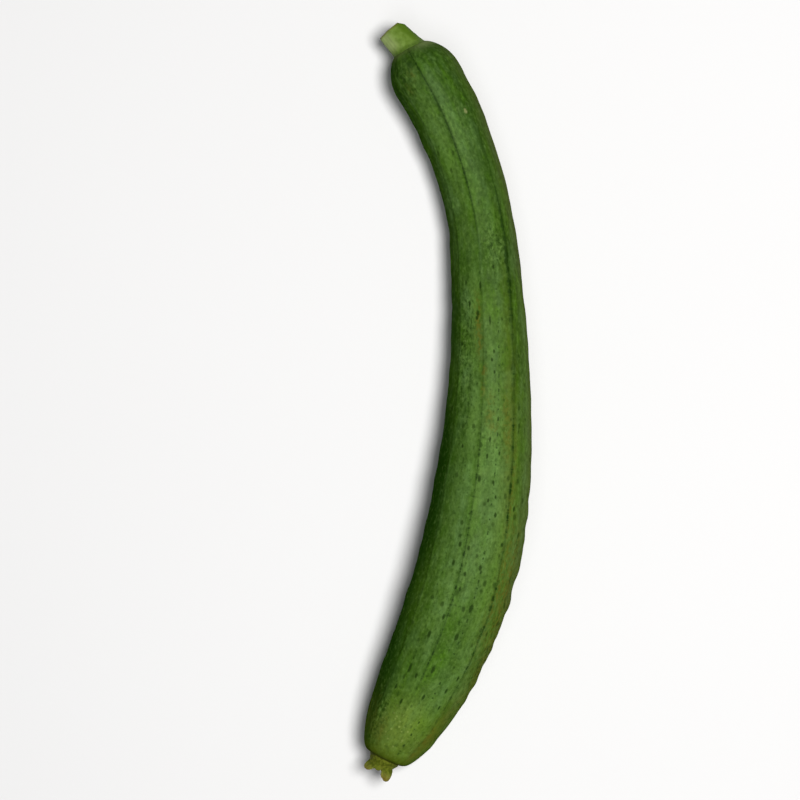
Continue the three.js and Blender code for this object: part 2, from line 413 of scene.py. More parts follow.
# ---- centre line


def centre_samples(steps=1200):
    """Catmull-Rom curve through the stations, with the distance along it."""
    ghosts = np.vstack([2 * STATIONS[0] - STATIONS[1], STATIONS, 2 * STATIONS[-1] - STATIONS[-2]])
    place = np.linspace(0, len(STATIONS) - 1, steps + 1)
    index = np.minimum(place.astype(int), len(STATIONS) - 2)
    t = (place - index)[:, None]
    before, start, end, after = (ghosts[index + k] for k in range(4))
    leave, arrive = (end - before) / 2, (after - start) / 2
    curve = start + leave * t + (3 * (end - start) - 2 * leave - arrive) * t**2
    curve += (2 * (start - end) + leave + arrive) * t**3
    steps_long = np.hypot(*np.diff(curve[:, :2], axis=0).T)
    return curve, np.concatenate([[0], np.cumsum(steps_long)])


CURVE, ARCS = centre_samples()
LENGTH = ARCS[-1]


def station_at(arc):
    """x, y and radius of the centre line at distances along it."""
    return np.stack([np.interp(arc, ARCS, CURVE[:, k]) for k in range(3)], axis=-1)


def rest_lift(arc):
    """Height of the underside over the table: below it at the three spots, just clear elsewhere."""
    spots = [np.exp(-(((arc - spot) / REST_REACH) ** 2)) for spot in REST_SPOTS]
    return REST_CLEARANCE - (REST_CLEARANCE + REST_SINK) * np.max(spots, axis=0)


REST_HALF_WIDTH = math.radians(VEINS[REST_PANEL + 1] - VEINS[REST_PANEL]) / 2
UNDERSIDE = (1 + FLATTENED_LOSS) * (1 - PANEL_FLATNESS * (1 - math.cos(REST_HALF_WIDTH)))


def sections(arc):
    """Cross-sections of the fruit: centre, way along, way to the outside of the bend, radius."""
    arc = np.atleast_1d(np.asarray(arc, dtype=float))
    tangent = (station_at(arc + 0.5) - station_at(arc - 0.5))[:, :2]
    direction = np.arctan2(tangent[:, 1], tangent[:, 0])
    along = np.stack([np.cos(direction), np.sin(direction), np.zeros_like(arc)], axis=-1)
    here = station_at(arc)
    height = here[:, 2] * UNDERSIDE + rest_lift(arc)
    centre = np.column_stack([here[:, :2], height])
    return centre, along, np.cross(UP, along), here[:, 2]


# ---- fruit

# Angles of the veins in radians, on round to the first one again.
PANEL_EDGES = np.radians(np.array(VEINS + [VEINS[0] + 360]))


def shoulder(distance, end, full_radius):
    inward = np.maximum(0, 1 - distance / end["length"])
    rise = (1 - inward ** end["fullness"]) ** (1 / end["fullness"])
    return end["ring"] + (full_radius - end["ring"]) * rise


def ring_places():
    """Distances of the rings: close together on the shoulders, evenly spaced between them."""
    quarter = np.arange(SHOULDER_RINGS) / SHOULDER_RINGS * math.pi / 2
    neck = NECK["length"] * (1 - np.cos(quarter))
    tip = LENGTH - TIP["length"] * (1 - np.cos(quarter[::-1]))
    middle = np.linspace(NECK["length"], LENGTH - TIP["length"], RINGS - 2 * SHOULDER_RINGS)
    return np.concatenate([neck, middle, tip])


def vein_turn(arc):
    """Angle that the veins have turned at a distance along the fruit."""
    neck = NECK_TURN * (1 - smoothstep(arc, 0, NECK_TURN_END))
    return np.radians(neck + TIP_TURN * smoothstep(arc, *TIP_TURN_SPAN))


def vein_track(arc, apart):
    """Points to take noise at, far enough apart for each vein to stray in its own way."""
    return np.stack([arc, apart + np.zeros_like(arc), np.zeros_like(arc)], axis=-1)


def vein_strays(arc):
    """How far each vein wanders off its line, in radians: one row for each vein."""
    tracks = [vein_track(arc, TRACKS_APART["stray"] * k) for k in range(len(VEINS))]
    strays = np.radians(VEIN_WANDER) * np.array([lumps(track, VEIN_WAVES) for track in tracks])
    bow = np.exp(-(((arc - VEIN_BEND["arc"]) / VEIN_BEND["reach"]) ** 2))
    strays[VEIN_BEND["vein"]] += np.radians(VEIN_BEND["turn"]) * bow
    return strays


class Skin:
    """Every point of the fruit's surface as arrays of rings by columns, with what marks it."""

    def __init__(self):
        arc = ring_places()
        self.lay_out(arc)
        centre, _, outside, full = sections(arc)
        radius = np.minimum(shoulder(arc, NECK, full), shoulder(LENGTH - arc, TIP, full))[:, None]
        # The same point if the fruit were straight: noise taken there isn't squeezed by the bend.
        self.straight = np.stack(
            [radius * np.cos(self.angle), radius * np.sin(self.angle), self.arc], axis=-1)
        to_edge = np.minimum(self.share, 1 - self.share)
        self.from_vein = to_edge * self.width * radius
        self.from_row = (0.5 - to_edge) * self.width * radius
        out = self.profile(to_edge * self.width, radius, full[:, None])
        aside, high = out * np.cos(self.angle), out * np.sin(self.angle)
        self.points = centre[:, None] + outside[:, None] * aside[..., None] + UP * high[..., None]
        self.points[..., 2] = np.maximum(self.points[..., 2], 0.0)

    def lay_out(self, arc):
        """Which panel each column is in and how far across it, and the angle of every point."""
        count = len(VEINS)
        self.panel = np.repeat(np.arange(count), len(PANEL_SHARES))
        self.share = np.tile(PANEL_SHARES, count)
        self.width = np.diff(PANEL_EDGES)[self.panel]
        self.column_angle = PANEL_EDGES[self.panel] + self.share * self.width
        strays = vein_strays(arc)
        before, after = strays[self.panel], strays[(self.panel + 1) % count]
        stray = before * (1 - self.share)[:, None] + after * self.share[:, None]
        self.arc = arc[:, None] + np.zeros(len(self.share))
        self.angle = self.column_angle + vein_turn(arc)[:, None] + stray.T

    def profile(self, from_edge, radius, full_radius):
        """Distance of the skin from the centre: nearly flat panels, raised veins and low bumps."""
        soft = PANEL_CREASE * self.width
        from_edge = np.sqrt(from_edge**2 + soft**2) - soft
        chord = np.cos(self.width / 2) / np.cos(self.width / 2 - from_edge)
        flat = (1 + FLATTENED_LOSS) * (1 - PANEL_FLATNESS * (1 - chord))
        ridge = VEIN_HEIGHT * np.exp(-((self.from_vein / VEIN_WIDTH) ** 2)) * (radius / full_radius)
        return radius * flat + ridge * self.vein_strength() + self.bumps()

    def degrees_from(self, centre):
        """Angle round the fruit from a line given in degrees, -180 to 180."""
        turned = np.degrees(self.angle) - centre
        return (turned + 180) % 360 - 180

    def bumps(self):
        rough = window(self.arc, *ROUGH_STRETCH) * window(self.degrees_from(ROUGH_MIDDLE), *ROUGH_SIDE)
        height = np.zeros_like(self.arc)
        for rise, long, rounds, phase in BUMPS:
            wave = np.sin(2 * math.pi * self.arc / long + rounds * self.angle + phase)
            height += rise * wave * (ROUGH_BUMPS[0] + ROUGH_BUMPS[1] * rough)
        height += lumps(self.straight, LUMPS) * (ROUGH_LUMPS[0] + ROUGH_LUMPS[1] * rough)
        ends = smoothstep(np.minimum(self.arc, LENGTH - self.arc), 0, SMOOTH_END)
        clear_of_table = 1 - smoothstep(-np.sin(self.angle), *TABLE_SIDE)
        return height * ends * clear_of_table

    def vein_strength(self):
        """The veins come and go along the fruit: 1 where they are strongest."""
        track = vein_track(self.arc, self.nearest_vein() * TRACKS_APART["swell"])
        return np.clip(VEIN_MEAN + lumps(track, VEIN_SWELLS), VEIN_LEAST, 1)

    def nearest_vein(self):
        nearest = (self.panel + (self.share > 0.5)) % len(VEINS)
        return nearest + np.zeros_like(self.arc)

    def piece(self):
        points, faces = loft_points(self.points), loft_faces(*self.arc.shape)
        piece = new_piece("luffa_skin", points, faces, "gourd_body")
        self.unroll(piece.data)
        return piece

    def unroll(self, mesh):
        """A map of the skin laid flat, in millimetres round it and along it."""
        rings, sides = self.arc.shape
        corners = np.empty(len(mesh.loops), dtype=np.int64)
        mesh.loops.foreach_get("vertex_index", corners)
        ring, column = np.minimum(corners // sides, rings - 1), corners % sides
        face = np.repeat(np.arange(len(mesh.polygons)), [len(p.vertices) for p in mesh.polygons])
        wraps = (face < (rings - 1) * sides) & (face % sides == sides - 1) & (column == 0)
        round_mm = ROUND * (self.column_angle[column] + 2 * math.pi * wraps)
        along_mm = self.arc[ring, 0]
        mesh.uv_layers.new(name="Skin").data.foreach_set("uv", np.stack([round_mm, along_mm], -1).ravel())


# ---- marks of the skin

# How dark each vein is drawn, and the dotted row along the middle of each panel.
VEIN_INK = np.array([0.5, 0.85, 0.85, 0.4, 0.5, 0.6, 0.6, 0.6, 0.6, 0.6])
ROW_INK = np.array([0.4, 1.0, 0.5, 0.4, 0.5, 0.5, 0.5, 0.5, 0.5, 0.4])
MAIN_VEIN = 2  # the one that shows right up to the stalk
MAIN_VEIN_DARK = 1.15
MAIN_VEIN_FAINT = [(0.7, 95.0, 205.0, 20)]  # what it loses, and where
VEINS_AT_NECK = 0.25  # share of their darkness that the others have at the stalk
VEINS_COME_IN = (50, 100)  # it rises to 1 between these distances
VEINS_GO_OUT = (25, 55)  # and all veins fade between these distances from the blossom
BOWED_VEIN_LEFT = 0.4  # but the bowed one keeps this share
BOWED_VEIN_DARK = [(0.2, 200, 310, 25)]  # how much darker it is, and where
BOWED_VEIN_WIDE = [(1.3, 95, 200, 20), (0.55, 215, 310, 20)]  # and how much wider

# Patches of the skin's colour, each row a soft spot: distance along the fruit, its reach, angle
# round the fruit, its reach in degrees, and strength.
PATCHES = {
    # Olive tone of the skin, partly painted reflected light along the outside of the bend.
    "olive_and_reflection": [
        (318, 62, -6, 23, 1.0), (215, 60, -8, 20, 0.8), (90, 90, 0, 11, 0.9), (374, 16, 16, 60, 0.4),
        (377, 8, 132, 22, 0.7), (200, 70, 59, 10, 0.45), (371, 14, 165, 20, 0.5), (386, 6, 95, 80, 0.5),
        (366, 26, 34, 15, 0.9)],
    "brown": [
        (150, 14, 108, 5, 0.8), (161, 9, 105, 4, 0.7), (176, 3, 100, 4, 0.9), (185, 4, 100, 3, 0.7),
        (192, 5, 89, 5, 0.5), (200, 5, 89, 6, 0.6), (206, 4, 84, 6, 0.6), (196, 10, 67, 6, 0.5),
        (206, 14, 64, 6, 0.6), (214, 10, 64, 5, 0.5), (243, 30, 53, 4, 0.6), (282, 34, 46, 7, 0.7),
        (287, 30, 31, 9, 0.9), (315, 30, 16, 10, 0.8), (90, 70, -4, 8, 0.7), (366, 9, 146, 7, 0.4),
        (374, 8, 120, 5, 0.5), (350, 20, 26, 7, 0.4), (372, 14, 44, 5, 0.9), (13.5, 3.5, 112, 7, 0.45),
        (19, 4, 128, 6, 0.4)],
    "yellow": [
        (308, 9, 87, 8, 1.0), (328, 11, 85, 9, 1.4), (341, 9, 93, 9, 0.8), (364, 9, 72, 17, 1.2),
        (130, 26, 108, 10, 0.4), (214, 30, 89, 20, 0.3), (349, 12, 108, 30, 0.5), (383, 7, 95, 60, 0.5)],
    # Bluish bloom of the wax, partly a painted sheen on the upper panels.
    "bluish_and_sheen": [
        (50, 36, 86, 10, 0.8), (142, 11, 124, 12, 1.0), (178, 12, 124, 12, 1.0), (200, 12, 120, 8, 0.6),
        (342, 16, 32, 9, 0.7), (86, 30, 76, 10, 0.5), (299, 44, 103, 6, 1.0), (262, 55, 73, 12, 0.7),
        (345, 20, 65, 14, 0.7), (210, 50, 26, 10, 0.6), (252, 62, 112, 12, 0.9), (320, 28, 50, 9, 0.8),
        (221, 34, 84, 13, 1.0), (277, 30, 88, 9, 0.7), (180, 26, 88, 12, 0.5)],
    "dark": [
        (7, 5, 108, 14, 0.8), (11, 7, 122, 9, 0.7), (7, 5, 140, 8, 1.0), (12, 4, 131, 7, 1.0),
        (16, 9, 153, 10, 0.8), (4, 5, 90, 50, 0.4), (20, 8, 128, 9, 0.7), (118, 9, 51, 3, 1.0),
        (126, 4, 50, 3, 0.8), (131, 3, 49, 3, 1.0), (140, 3, 52, 2.5, 0.9), (113, 10, 43, 3, 0.6),
        (73, 11, 61, 13, 0.4), (62, 12, 54, 3, 0.5), (376, 5, 130, 9, 0.5), (364, 16, 148, 10, 0.6),
        (351, 13, 139, 9, 0.6)],
    # Painted highlight: lighter green stripes along the upper panels, where the light falls.
    "light": [
        (52, 46, 117, 15, 0.6), (150, 60, 114, 13, 0.45), (249, 50, 119, 12, 0.3), (207, 30, 83, 11, 0.5),
        (297, 38, 104, 6, 0.5), (157, 14, 92, 8, 0.5), (157, 14, 72, 8, 0.35), (203, 20, 110, 9, 0.9),
        (103, 12, 121, 8, 0.6), (230, 26, 97, 7, 0.5), (58, 40, 98, 8, 0.3), (262, 46, 55, 20, 0.55),
        (342, 14, 30, 10, 0.4)],
    # A greyish tone along the outside of the bend.
    "greyish_side": [(80, 90, 12, 24, 0.28), (230, 90, 12, 22, 0.24)],
    # Painted shade, mostly: darker green on the flank towards the inside of the bend and on the underside,
    # with a few darker patches of the skin's own.
    "shade_and_darker": [
        (150, 34, 165, 26, 1.0), (10, 10, 58, 14, 0.4), (121, 10, 95, 12, 0.4), (139, 12, 58, 8, 0.35),
        (20, 50, 174, 31, 0.95), (120, 70, 178, 30, 0.6), (240, 62, 173, 41, 1.9), (300, 50, 176, 33, 1.4),
        (318, 34, 148, 19, 0.8), (343, 12, 138, 15, 1.0), (121, 12, 125, 30, 0.5), (350, 60, 162, 31, 1.4),
        (195, 230, 250, 60, 0.7), (300, 60, 128, 10, 0.5), (340, 26, 112, 16, 0.4), (58, 42, 54, 21, 0.4),
        (317, 22, 83, 22, 0.45)],
    "pale": [(1.0, 3.0, 34, 38, 0.85), (0.3, 1.8, 150, 50, 0.35)],
    "tip": [(369, 17, 95, 36, 1.0), (377, 12, 49, 40, 0.55)],
    "speckled": [(165, 60, 128, 18, 0.6), (112, 16, 70, 22, 0.55), (212, 24, 84, 30, 0.2)],
    "crumbly": [
        (112, 14, 72, 24, 1.0), (168, 44, 130, 18, 0.9), (212, 26, 80, 40, 0.4), (320, 60, 14, 22, 1.0),
        (368, 20, 138, 20, 1.0), (290, 80, 88, 55, 0.3), (50, 60, 80, 70, 0.3), (14, 12, 130, 24, 0.9)],
    "pored": [(371, 12, 92, 26, 1.0), (364, 6, 118, 14, 0.7)],
}

# Single flecks that stand out: x and y from above, half width and half length.
MARKS = [
    (21.9, -19.1, 0.5, 1.2), (7.2, -22.3, 0.5, 0.9), (20.2, -27.5, 0.5, 1.1), (27.2, -26.2, 0.45, 0.9),
    (15.8, -39.1, 0.7, 1.5), (23.9, -41.0, 0.5, 0.9), (33.5, -42.9, 0.6, 1.2), (25.2, -48.8, 0.4, 0.8),
    (20.9, -50.5, 0.45, 0.9), (24.9, -57.9, 0.6, 1.2), (34.8, -55.0, 0.5, 1.2), (5.9, -72.5, 0.6, 1.2),
    (10.4, -74.3, 0.55, 1.0), (28.3, -73.2, 0.55, 1.0), (2.6, -81.8, 0.6, 1.5), (16.8, -84.9, 0.65, 1.3),
    (8.5, -87.8, 0.5, 1.0), (5.9, -95.6, 0.5, 1.1), (12.0, -105.8, 0.8, 1.9), (4.3, -120.3, 0.75, 1.9),
    (-2.6, -109.8, 0.5, 1.3), (-9.9, -118.9, 0.65, 1.9), (-7.7, -137.1, 0.65, 2.0),
    (-19.7, -136.4, 0.6, 2.0), (-16.5, -140.3, 0.5, 1.2), (-27.0, -146.2, 0.45, 1.3),
    (5.1, -142.2, 0.5, 1.1), (29.7, 79.7, 0.9, 1.6), (30.5, 76.2, 0.7, 1.3), (30.3, 72.9, 1.2, 1.4),
    (31.4, 69.0, 0.9, 1.4), (32.4, 61.5, 0.8, 1.7), (16.8, 60.4, 0.6, 2.0), (15.3, 45.9, 0.8, 1.6),
    (14.8, 43.6, 0.7, 1.0), (-12.8, -151.7, 0.55, 1.3), (-0.9, -148.6, 0.5, 1.2),
    (-4.5, -157.2, 0.45, 1.1), (-24.3, -153.8, 0.5, 1.4), (23.6, 70.3, 0.6, 0.9), (21.7, 42.2, 0.5, 2.2),
    (24.0, 26.2, 0.5, 0.9), (22.9, 22.2, 0.5, 0.9), (24.3, 15.7, 0.5, 0.8), (9.5, 62.0, 0.5, 1.0),
    (11.1, 50.8, 0.45, 1.6), (7.4, 30.3, 0.6, 0.9),
]
SCAR = (9.0, 150.9, 0.9, 1.1)


def grown_place(x, y):
    """Where a point seen from above lies on the unrolled skin."""
    nearest = int(np.argmin(np.hypot(CURVE[:, 0] - x, CURVE[:, 1] - y)))
    arc = ARCS[nearest]
    centre, _, outside, radius = sections(arc)
    aside = float(np.dot(np.array((x, y, 0)) - centre[0] * (1, 1, 0), outside[0]))
    angle = math.acos(np.clip(aside / radius[0], -1, 1))
    return ROUND * (angle - float(vein_turn(arc))), arc


def vein_ink(skin):
    """How dark the nearest vein is at each point."""
    nearest = skin.nearest_vein()
    main = MAIN_VEIN_DARK - on_stretches(skin.arc, MAIN_VEIN_FAINT)
    other = VEINS_AT_NECK + (1 - VEINS_AT_NECK) * smoothstep(skin.arc, *VEINS_COME_IN)
    fades = smoothstep(LENGTH - skin.arc, *VEINS_GO_OUT)
    bowed = BOWED_VEIN_LEFT + (1 - BOWED_VEIN_LEFT) * fades + on_stretches(skin.arc, BOWED_VEIN_DARK)
    lower = np.where(nearest == VEIN_BEND["vein"], bowed, fades)
    return VEIN_INK[nearest.astype(int)] * np.where(nearest == MAIN_VEIN, main, other) * lower


def vein_width(skin):
    """How many times as wide as usual the nearest vein is drawn."""
    bowed = skin.nearest_vein() == VEIN_BEND["vein"]
    return 1 + bowed * on_stretches(skin.arc, BOWED_VEIN_WIDE)


def patch_strength(skin, rows):
    total = np.zeros_like(skin.arc)
    for arc, reach, angle, spread, strength in rows:
        distance = ((skin.arc - arc) / reach) ** 2 + (skin.degrees_from(angle) / spread) ** 2
        total = np.maximum(total, strength * np.exp(-distance))
    return total


def mark_skin(skin, mesh):
    """Gives the skin's mesh the numbers that its material reads."""
    add_ring_attributes(mesh, {
        "straight": skin.straight,
        "from_vein": skin.from_vein,
        "from_row": skin.from_row,
        "vein_strength": skin.vein_strength(),
        "vein_ink": vein_ink(skin),
        "vein_width": vein_width(skin),
        "row_ink": ROW_INK[skin.panel] + np.zeros_like(skin.arc),
    })
    add_ring_attributes(mesh, {name: patch_strength(skin, rows) for name, rows in PATCHES.items()})


# ---- skin's material

NECK_GREEN = linear(50, 76, 20)
BELLY_GREEN = linear(66, 94, 26)
TIP_GREEN = linear(106, 127, 50)
DEEP = linear(28, 52, 6)
# Dark green of the flank in painted shade.
SHADED_FLANK_GREEN = linear(19, 49, 2)
GREYISH_TONE = linear(94, 88, 66)
# Lighter green of the painted highlight.
HIGHLIGHT_GREEN = linear(88, 118, 54)
BLOOM = linear(104, 134, 66)
STREAK = linear(86, 118, 60)
BLUISH = linear(86, 117, 66)
YELLOWISH = linear(66, 104, 12)
# Olive of the skin and of the painted reflected light.
OLIVE_AND_REFLECTION = linear(80, 88, 26)
BROWN = linear(84, 82, 22)
VEIN_GREEN = linear(20, 42, 7)
FLECK_GREEN = linear(24, 44, 6)
PALE = linear(140, 154, 84)
SCAR_TONE = linear(118, 124, 78)
RING_PALE = linear(112, 126, 80)
ROOT_GREEN = linear(78, 98, 40)
END_OLIVE = linear(62, 76, 4)
# Dark olive of the painted shade in the crease at the blossom.
CREASE_SHADE_OLIVE = linear(44, 48, 8)
WAX = (0.85, 1.0, 0.65, 1.0)

# Noise of the skin: how much it is drawn out along the fruit, size of its lumps, detail, roughness.
SKIN_NOISES = {
    "cloud": (0.45, 22, 3, 0.5),
    "mottle": (0.6, 4.2, 4, 0.62),
    "tint": (0.5, 3.0, 3, 0.6),
    "hue": (0.35, 6.5, 2, 0.5),
    "streaks": (0.06, 3.2, 2, 0.55),
    "pebble": (0.7, 1.6, 2, 0.5),
    "grain": (0.7, 0.95, 3, 0.6),
    "crumbs": (0.65, 1.5, 3, 0.6),
    "rust": (0.7, 1.8, 3, 0.65),
    "fibre": (0.3, 0.75, 3, 0.6),
    "pits": (1, 0.5, 3, 0.6),
    "wobble": (1, 0.9, 2, 0.5),
}

# Noise of the lines along the fruit: how fine it is round the fruit and along it, and its detail.
LINE_NOISES = {
    "swell": (0.02, 0.45, 2),
    "dashes": (0.03, 0.33, 2),
    "sprigs": (0.22, 0.9, 2),
    "row_dots": (0.07, 0.4, 1),
}

# Colours laid over the ground colour in turn: the noise that breaks each up, two of its values and
# the share covered at either; the colour; and the patches that it keeps to, if any. EVEN takes the
# noise's place where nothing breaks a colour up, and the share follows it.
EVEN = (None, 0, 1, 0)
SKIN_TONES = [
    ("cloud", 0.42, 0.72, 0, 0.55, DEEP),
    ("tint", 0.5, 0.75, 0, 0.32, BLUISH),
    ("tint", 0.5, 0.25, 0, 0.55, YELLOWISH),
    ("hue", 0.5, 0.68, 0, 0.3, BLUISH),
    ("hue", 0.5, 0.32, 0, 0.45, YELLOWISH),
    # Bluish bloom, partly a painted sheen on the upper panels.
    ("blotch", 0, 1, 0.35, 0.8, BLUISH, "bluish_and_sheen"),
    ("blotch", 0, 1, 0.5, 0.9, YELLOWISH, "yellow"),
    (*EVEN, 0.8, TIP_GREEN, "tip"),
    ("mottle", 0.3, 0.75, 0.28, 0, DEEP),
    # Painted shade on the flank towards the inside of the bend and on the underside, with some darker
    # patches.
    (*EVEN, 0.8, SHADED_FLANK_GREEN, "shade_and_darker"),
    # Painted highlight along the upper panels.
    (*EVEN, 0.7, HIGHLIGHT_GREEN, "light"),
    ("streaks", 0.52, 0.72, 0, 0.2, STREAK),
    ("streaks", 0.48, 0.3, 0, 0.24, DEEP),
    ("pebble", 0.5, 0.75, 0, 0.22, BLOOM),
    ("pebble", 0.5, 0.28, 0, 0.42, DEEP),
    ("grain", 0.5, 0.75, 0, 0.1, BLOOM),
    ("grain", 0.5, 0.28, 0, 0.2, DEEP),
    ("crumbs", 0.52, 0.68, 0, 0.45, BLOOM, "crumbly"),
    # Olive tone, partly painted reflected light along the outside of the bend.
    ("mottle", 0.3, 0.6, 0.35, 0.95, OLIVE_AND_REFLECTION, "olive_and_reflection"),
    ("rust", 0.41, 0.59, 0.08, 1, BROWN, "brown"),
    ("mottle", 0.38, 0.58, 0.1, 0.9, VEIN_GREEN, "dark"),
    ("crumbs", 0.49, 0.36, 0, 0.95, DEEP, "crumbly"),
    # Greyish tone along the outside of the bend.
    (*EVEN, 1, GREYISH_TONE, "greyish_side"),
]

# The same for what lies over the veins and the flecks.
TOP_TONES = [
    ("fibre", 0.3, 0.75, 0.16, 0, DEEP),
    (*EVEN, 1, RING_PALE, "pale"),
]

# Scattered spots: distance between them round and along the fruit, and radius as a share of that.
LARGE_FLECKS = (5.2, 8.6, 0.135)
SMALL_FLECKS = (2.6, 3.6, 0.13)
PORES = (2.9, 2.6, 0.2)
PORE_CHANCE = 0.45  # share of the places for a pore that have one


class SkinGraph(Graph):
    """The skin's material, laid on layer by layer."""

    def __init__(self):
        super().__init__(bpy.data.materials.new("luffa_skin"))
        self.straight = self.value("straight", "Vector")
        self.unrolled = self.node("UVMap", uv_map="Skin").outputs[0]
        self.along = self.node("SeparateXYZ", {0: self.unrolled}).outputs[1]
        self.noises = {}
        for name, (drawn, *look) in SKIN_NOISES.items():
            self.noises[name] = self.noise(self.stretch(self.straight, 1, 1, drawn), *look)
        for name, (across, along, detail) in LINE_NOISES.items():
            self.noises[name] = self.noise(self.stretch(self.unrolled, across, along, 0), 1, detail)
        self.noises["blotch"] = self.step(self.noises["mottle"], 0.35, 0.68)
        self.wobble = self.math("SUBTRACT", self.noises["wobble"], 0.5)

    def tones(self, color, rows):
        """Lays rows of SKIN_TONES over a colour."""
        for name, low, high, start, end, tone, *patches in rows:
            share = end if name is None else self.step(self.noises[name], low, high, start, end)
            color = self.mix(self.times(share, *map(self.value, patches)), color, tone)
        return color

    def veins(self, color):
        """Dark lines in a soft shade, broken into dashes lower down. Gives the lines too."""
        slim = self.math("DIVIDE", self.value("from_vein"), self.value("vein_width"))
        ragged = self.math("ADD", slim, self.times(self.wobble, 0.75))
        ragged = self.math("ADD", ragged, self.step(self.noises["swell"], 0.3, 0.7, 0.15, -0.3))
        whole = self.step(self.along, 90, 200, 0.9, 0.5)
        broken = self.math("MAXIMUM", whole, self.step(self.noises["dashes"], 0.45, 0.6))
        ink = self.times(broken, self.value("vein_ink"))
        strength = self.step(self.value("vein_strength"), 0.3, 0.8, 0.75, 1.0)
        line = self.times(self.step(ragged, -0.05, 0.62, 1, 0), ink, strength)
        beside = self.step(self.value("from_vein"), 0.3, 2.0, 0.6, 0)
        sprigs = self.times(self.step(self.noises["sprigs"], 0.55, 0.66), beside, ink)
        line = self.math("MAXIMUM", line, sprigs)
        shade = self.times(self.step(slim, 0.2, 1.7, 0.36, 0), ink)
        return self.paint(color, (shade, DEEP), (line, VEIN_GREEN)), line

    def rows(self, color):
        """A dotted line along the middle of each panel."""
        ragged = self.math("ADD", self.value("from_row"), self.times(self.wobble, 0.9))
        dots = self.step(self.noises["row_dots"], 0.5, 0.62)
        lower = self.step(self.along, 60, 190, 0.1, 0.8)
        row = self.times(self.step(ragged, 0.2, 0.65, 1, 0), dots, lower, self.value("row_ink"))
        return self.mix(row, color, VEIN_GREEN)

    def spots(self, across, along, radius, chance):
        """Small oval spots scattered over the skin where chance allows them."""
        places = self.stretch(self.unrolled, 1 / across, 1 / along, 0.0)
        cells = self.cells(places, voronoi_dimensions="2D")
        drawn = self.node("SeparateColor", {0: cells.outputs["Color"]})
        size = self.times(self.step(drawn.outputs[1], 0, 1, 0.5, 1.25), radius)
        edge = self.math("ADD", cells.outputs["Distance"], self.times(self.wobble, radius))
        inside = self.math("SUBTRACT", edge, size)
        shown = self.math("LESS_THAN", drawn.outputs[0], chance)
        return self.times(self.step(inside, -0.5 * radius, 0.5 * radius, 1, 0), shown)

    def marks(self, marks):
        """Spots at the places of single marks, each of its own size."""
        nearest = None
        for x, y, half_width, half_length in marks:
            ends = {0: self.unrolled, 1: (*grown_place(x, y), 0)}
            offset = self.node("VectorMath", ends, operation="SUBTRACT").outputs[0]
            scaled = self.stretch(offset, 1 / half_width, 1 / half_length, 0.0)
            distance = self.node("VectorMath", {0: scaled}, operation="LENGTH").outputs["Value"]
            nearest = distance if nearest is None else self.math("MINIMUM", nearest, distance)
        return self.step(self.math("ADD", nearest, self.wobble), 0.6, 1.65, 1, 0)

    def flecks(self):
        """Dark flecks, denser towards the blossom, and the single ones that stand out."""
        large = self.spots(*LARGE_FLECKS, self.step(self.along, 90, 230, 0.04, 0.3))
        crowded = self.math("ADD", self.step(self.along, 60, 200, 0.05, 0.2), self.value("speckled"))
        small = self.spots(*SMALL_FLECKS, crowded)
        scattered = self.math("MAXIMUM", self.times(large, 0.6), self.times(small, 0.42))
        scattered = self.times(scattered, self.step(self.along, LENGTH - 30, LENGTH - 14, 1, 0.15))
        return self.math("MAXIMUM", scattered, self.times(self.marks(MARKS), 0.9))

    def pale_marks(self, color):
        """Pale pores, mostly by the blossom, and one pale scar."""
        pored = self.times(self.value("pored"), 0.4)
        pores = self.times(self.spots(*PORES, PORE_CHANCE), pored)
        return self.paint(color, (pores, PALE), (self.times(self.marks([SCAR]), 0.75), SCAR_TONE))

    def ends(self, color):
        """Where the stalk and the dried blossom grow on, with painted shade in the crease by the blossom."""
        ragged = self.math("ADD", self.along, self.times(self.noises["rust"], -6.5))
        return self.paint(
            color,
            (self.step(ragged, -3.4, -0.8, 0.6, 0), ROOT_GREEN),
            (self.step(self.along, LENGTH - 7.0, LENGTH - 1.0, 0, 0.5), END_OLIVE),
            # Painted shade in the crease where the blossom grows on.
            (self.step(self.along, LENGTH - 2.2, LENGTH - 0.1, 0, 0.6), CREASE_SHADE_OLIVE),
        )

    def relief(self, dents):
        """Fine wrinkles and pits, and dents under the veins and flecks."""
        wrinkles = self.noise(self.stretch(self.straight, 0.5, 0.5, 1.7), 1.6, 3, 0.55)
        normal = self.bump(wrinkles, 0.10)
        normal = self.bump(self.noises["pits"], 0.05, normal)
        return self.bump(self.math("SUBTRACT", 1.0, dents), 0.06, normal)

    def gloss(self):
        """A faint wax where the skin is seen straight on, and none at its edges."""
        facing = self.node("LayerWeight", {"Blend": 0.5}).outputs["Facing"]
        return self.step(facing, 0.05, 0.4, 0.06, 0.0)


def skin_material():
    graph = SkinGraph()
    color = graph.mix(graph.step(graph.along, 40, 300), NECK_GREEN, BELLY_GREEN)
    color, line = graph.veins(graph.tones(color, SKIN_TONES))
    flecks = graph.flecks()
    color = graph.mix(flecks, graph.rows(color), FLECK_GREEN)
    color = graph.ends(graph.tones(graph.pale_marks(color), TOP_TONES))
    relief = graph.relief(graph.math("MAXIMUM", flecks, line))
    mottled = graph.step(graph.noises["mottle"], 0.3, 0.7, 0.47, 0.6)
    rough = graph.math("ADD", mottled, graph.times(flecks, 0.1))
    return graph.finish(color, rough, relief, Specular_IOR_Level=graph.gloss(), Specular_Tint=WAX)


# ---- stalk

STALK_SHADE = linear(74, 97, 30)
STALK_LIGHT = linear(94, 117, 50)
STALK_STREAK = linear(84, 108, 30)
STALK_FURROW = linear(76, 102, 22)
# Whitish green of the painted sheen on one side.
STALK_SHEEN = linear(142, 158, 100)
